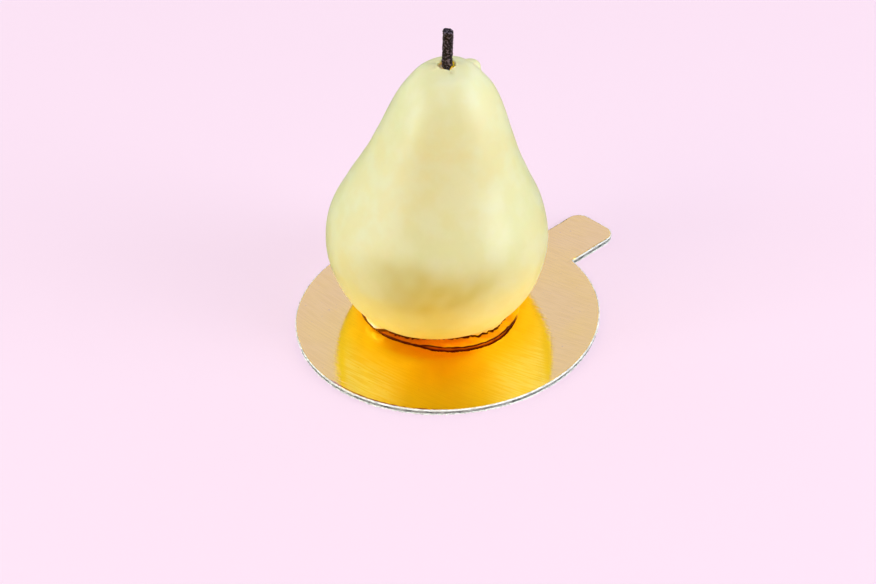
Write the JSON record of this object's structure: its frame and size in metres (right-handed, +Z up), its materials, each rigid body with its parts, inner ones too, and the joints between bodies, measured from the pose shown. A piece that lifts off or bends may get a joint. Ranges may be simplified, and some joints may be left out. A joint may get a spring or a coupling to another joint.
{
  "type": "pear-shaped mousse cake",
  "caption": "Pear-shaped single-portion mousse cake with a satin pale yellow coating and a dark chocolate stem, on a round gold serving card with a pull tab.",
  "frame": {"origin": "centre of the serving card's round part, on the card's underside", "axes": "+Z up through the cake; -Y is the front, opposite the side that the pull tab leans to; the tab points 41.5 degrees from +X towards +Y"},
  "size_m": [0.0856, 0.0814, 0.085],
  "materials": {
    "card_paper": "matte",
    "card_pulp": "matte",
    "gold_foil": "gloss",
    "amber_glaze": "gloss",
    "pear_coating": "satin",
    "yellow_gel": "gloss",
    "dark_chocolate": "matte"
  },
  "bodies": {
    "root": {"card_lower_liner": "card_paper", "card_core": "card_pulp", "card_upper_liner": "card_paper", "card_foil": "gold_foil", "glaze_foot": "amber_glaze", "pear_body": "pear_coating", "stem_gel": "yellow_gel", "stem": "dark_chocolate"}
  },
  "joints": []
}
